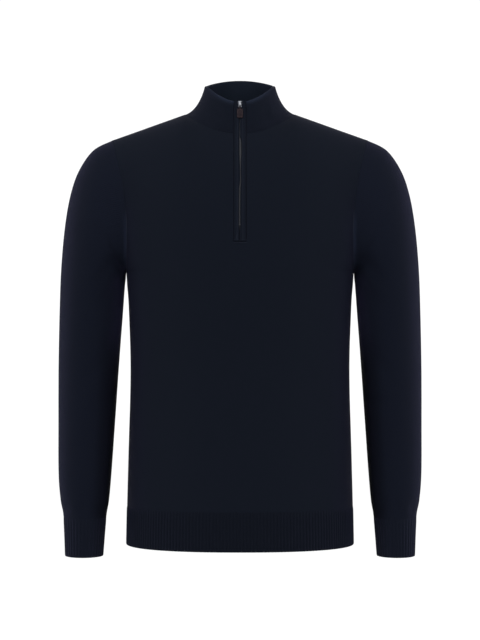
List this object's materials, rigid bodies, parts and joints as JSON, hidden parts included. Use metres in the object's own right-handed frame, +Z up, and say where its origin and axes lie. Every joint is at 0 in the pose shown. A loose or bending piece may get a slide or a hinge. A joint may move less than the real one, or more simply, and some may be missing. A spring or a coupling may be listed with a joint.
{
  "type": "quarter zip sweater",
  "caption": "Knitted quarter zip sweater in navy, held open as worn, with a standing collar, ribbed cuffs and hem, and a metal zip with a leather pull.",
  "frame": {"origin": "midway between the highest points of the two shoulders, at the neck's sides, where the wearer's shoulders hold the sweater up", "axes": "+X towards the wearer's left, +Y towards the back, +Z up; the zip faces -Y"},
  "size_m": [0.569, 0.2522, 0.7483],
  "materials": {
    "navy_knit": "fine plain knit, matt",
    "navy_rib": "narrow rib knit, matt",
    "zip_tape": "woven tape, matt",
    "zip_metal": "polished metal",
    "pull_leather": "smooth dark brown leather"
  },
  "bodies": {
    "garment": {"back": "navy_knit", "collar": "navy_knit", "cuff_left": "navy_rib", "cuff_right": "navy_rib", "front": "navy_knit", "hem_back": "navy_rib", "hem_front": "navy_rib", "placket_left": "navy_knit", "placket_right": "navy_knit", "sleeve_left": "navy_knit", "sleeve_right": "navy_knit", "zip_slider": "zip_metal", "zip_stop": "zip_metal", "zip_tape": "zip_tape", "zip_teeth": "zip_metal"},
    "pull": {"pull_ring": "zip_metal", "pull_loop": "pull_leather", "pull_tab": "pull_leather"}
  },
  "joints": [
    {"name": "pull_hinge", "type": "hinge", "parent": "garment", "child": "pull", "pos_m": [0, -0.06203, 0.01006], "axis": [-1, 0, 0], "range_deg": [0, 150]}
  ]
}
